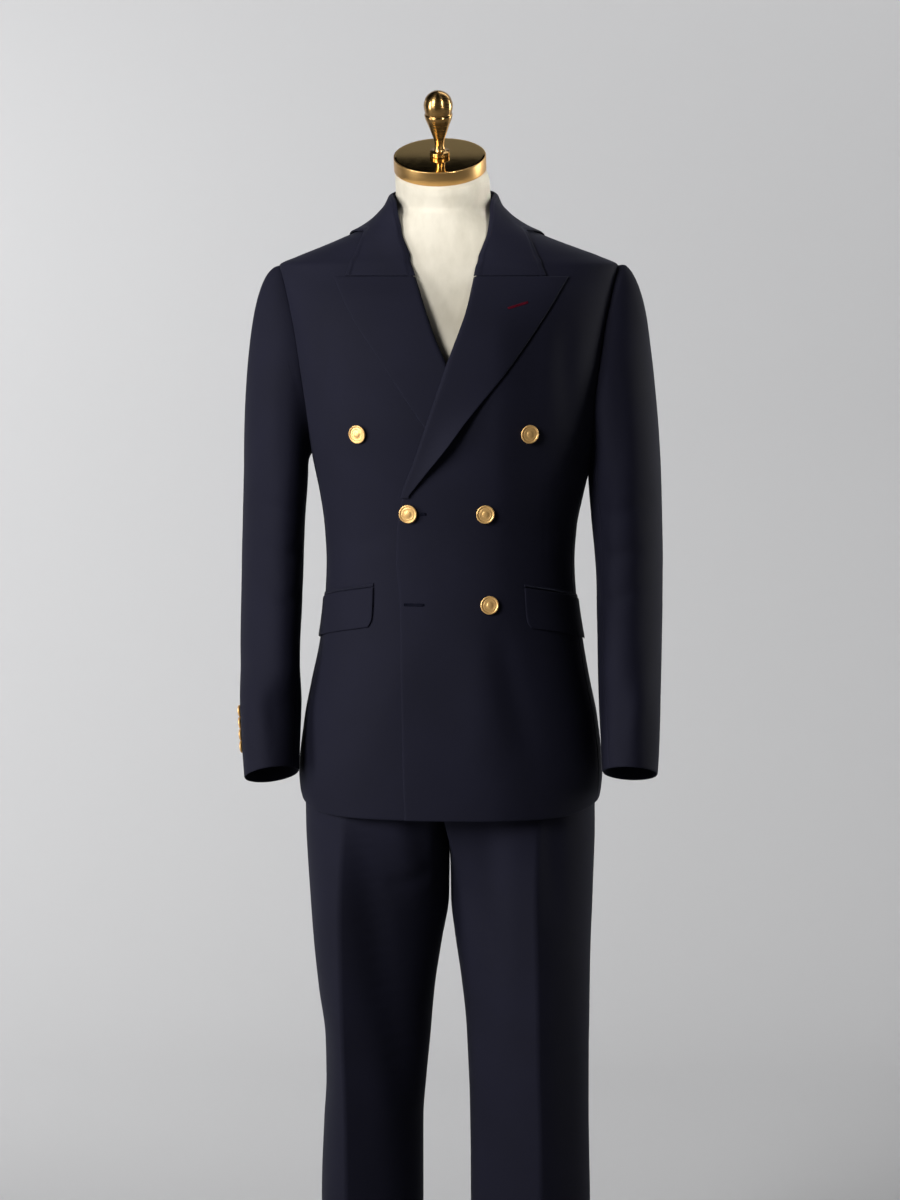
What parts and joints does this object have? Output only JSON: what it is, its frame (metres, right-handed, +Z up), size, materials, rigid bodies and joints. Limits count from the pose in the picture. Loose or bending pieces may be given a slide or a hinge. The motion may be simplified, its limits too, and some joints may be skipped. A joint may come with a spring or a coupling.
{
  "type": "two-piece suit on dress form",
  "caption": "Navy double-breasted peak-lapel jacket and matching trousers, worn by a limbless tailor's dress form on a round base.",
  "frame": {"origin": "centre of the underside of the round base, on the floor", "axes": "+Z up; the suit faces -Y; the wearer's left is +X"},
  "size_m": [0.5259, 0.4, 1.6622],
  "materials": {
    "wool": "fine navy wool twill, matt with a slight sheen",
    "linen": "cream linen, plain weave",
    "brass": "polished top and finial, satin rim",
    "gold": "gold plated, polished",
    "steel": "satin",
    "enamel": "black enamel, semi-gloss"
  },
  "bodies": {
    "root": {"front_left": "wool", "front_right": "wool", "side_left": "wool", "side_right": "wool", "back_left": "wool", "back_right": "wool", "lapel_left": "wool", "lapel_right": "wool", "collar": "wool", "collar_stand": "wool", "flap_left": "wool", "flap_right": "wool", "topsleeve_left": "wool", "topsleeve_right": "wool", "undersleeve_left": "wool", "undersleeve_right": "wool", "trouser_front_left": "wool", "trouser_front_right": "wool", "trouser_back_left": "wool", "trouser_back_right": "wool", "waistband": "wool", "button_top_left": "gold", "button_top_right": "gold", "button_waist_left": "gold", "button_waist_right": "gold", "button_low_left": "gold", "cuff_button_left_1": "gold", "cuff_button_left_2": "gold", "cuff_button_left_3": "gold", "cuff_button_left_4": "gold", "cuff_button_right_1": "gold", "cuff_button_right_2": "gold", "cuff_button_right_3": "gold", "cuff_button_right_4": "gold", "form_torso": "linen", "neck_plate": "brass", "finial": "brass", "pole": "steel", "base": "enamel"}
  },
  "joints": []
}
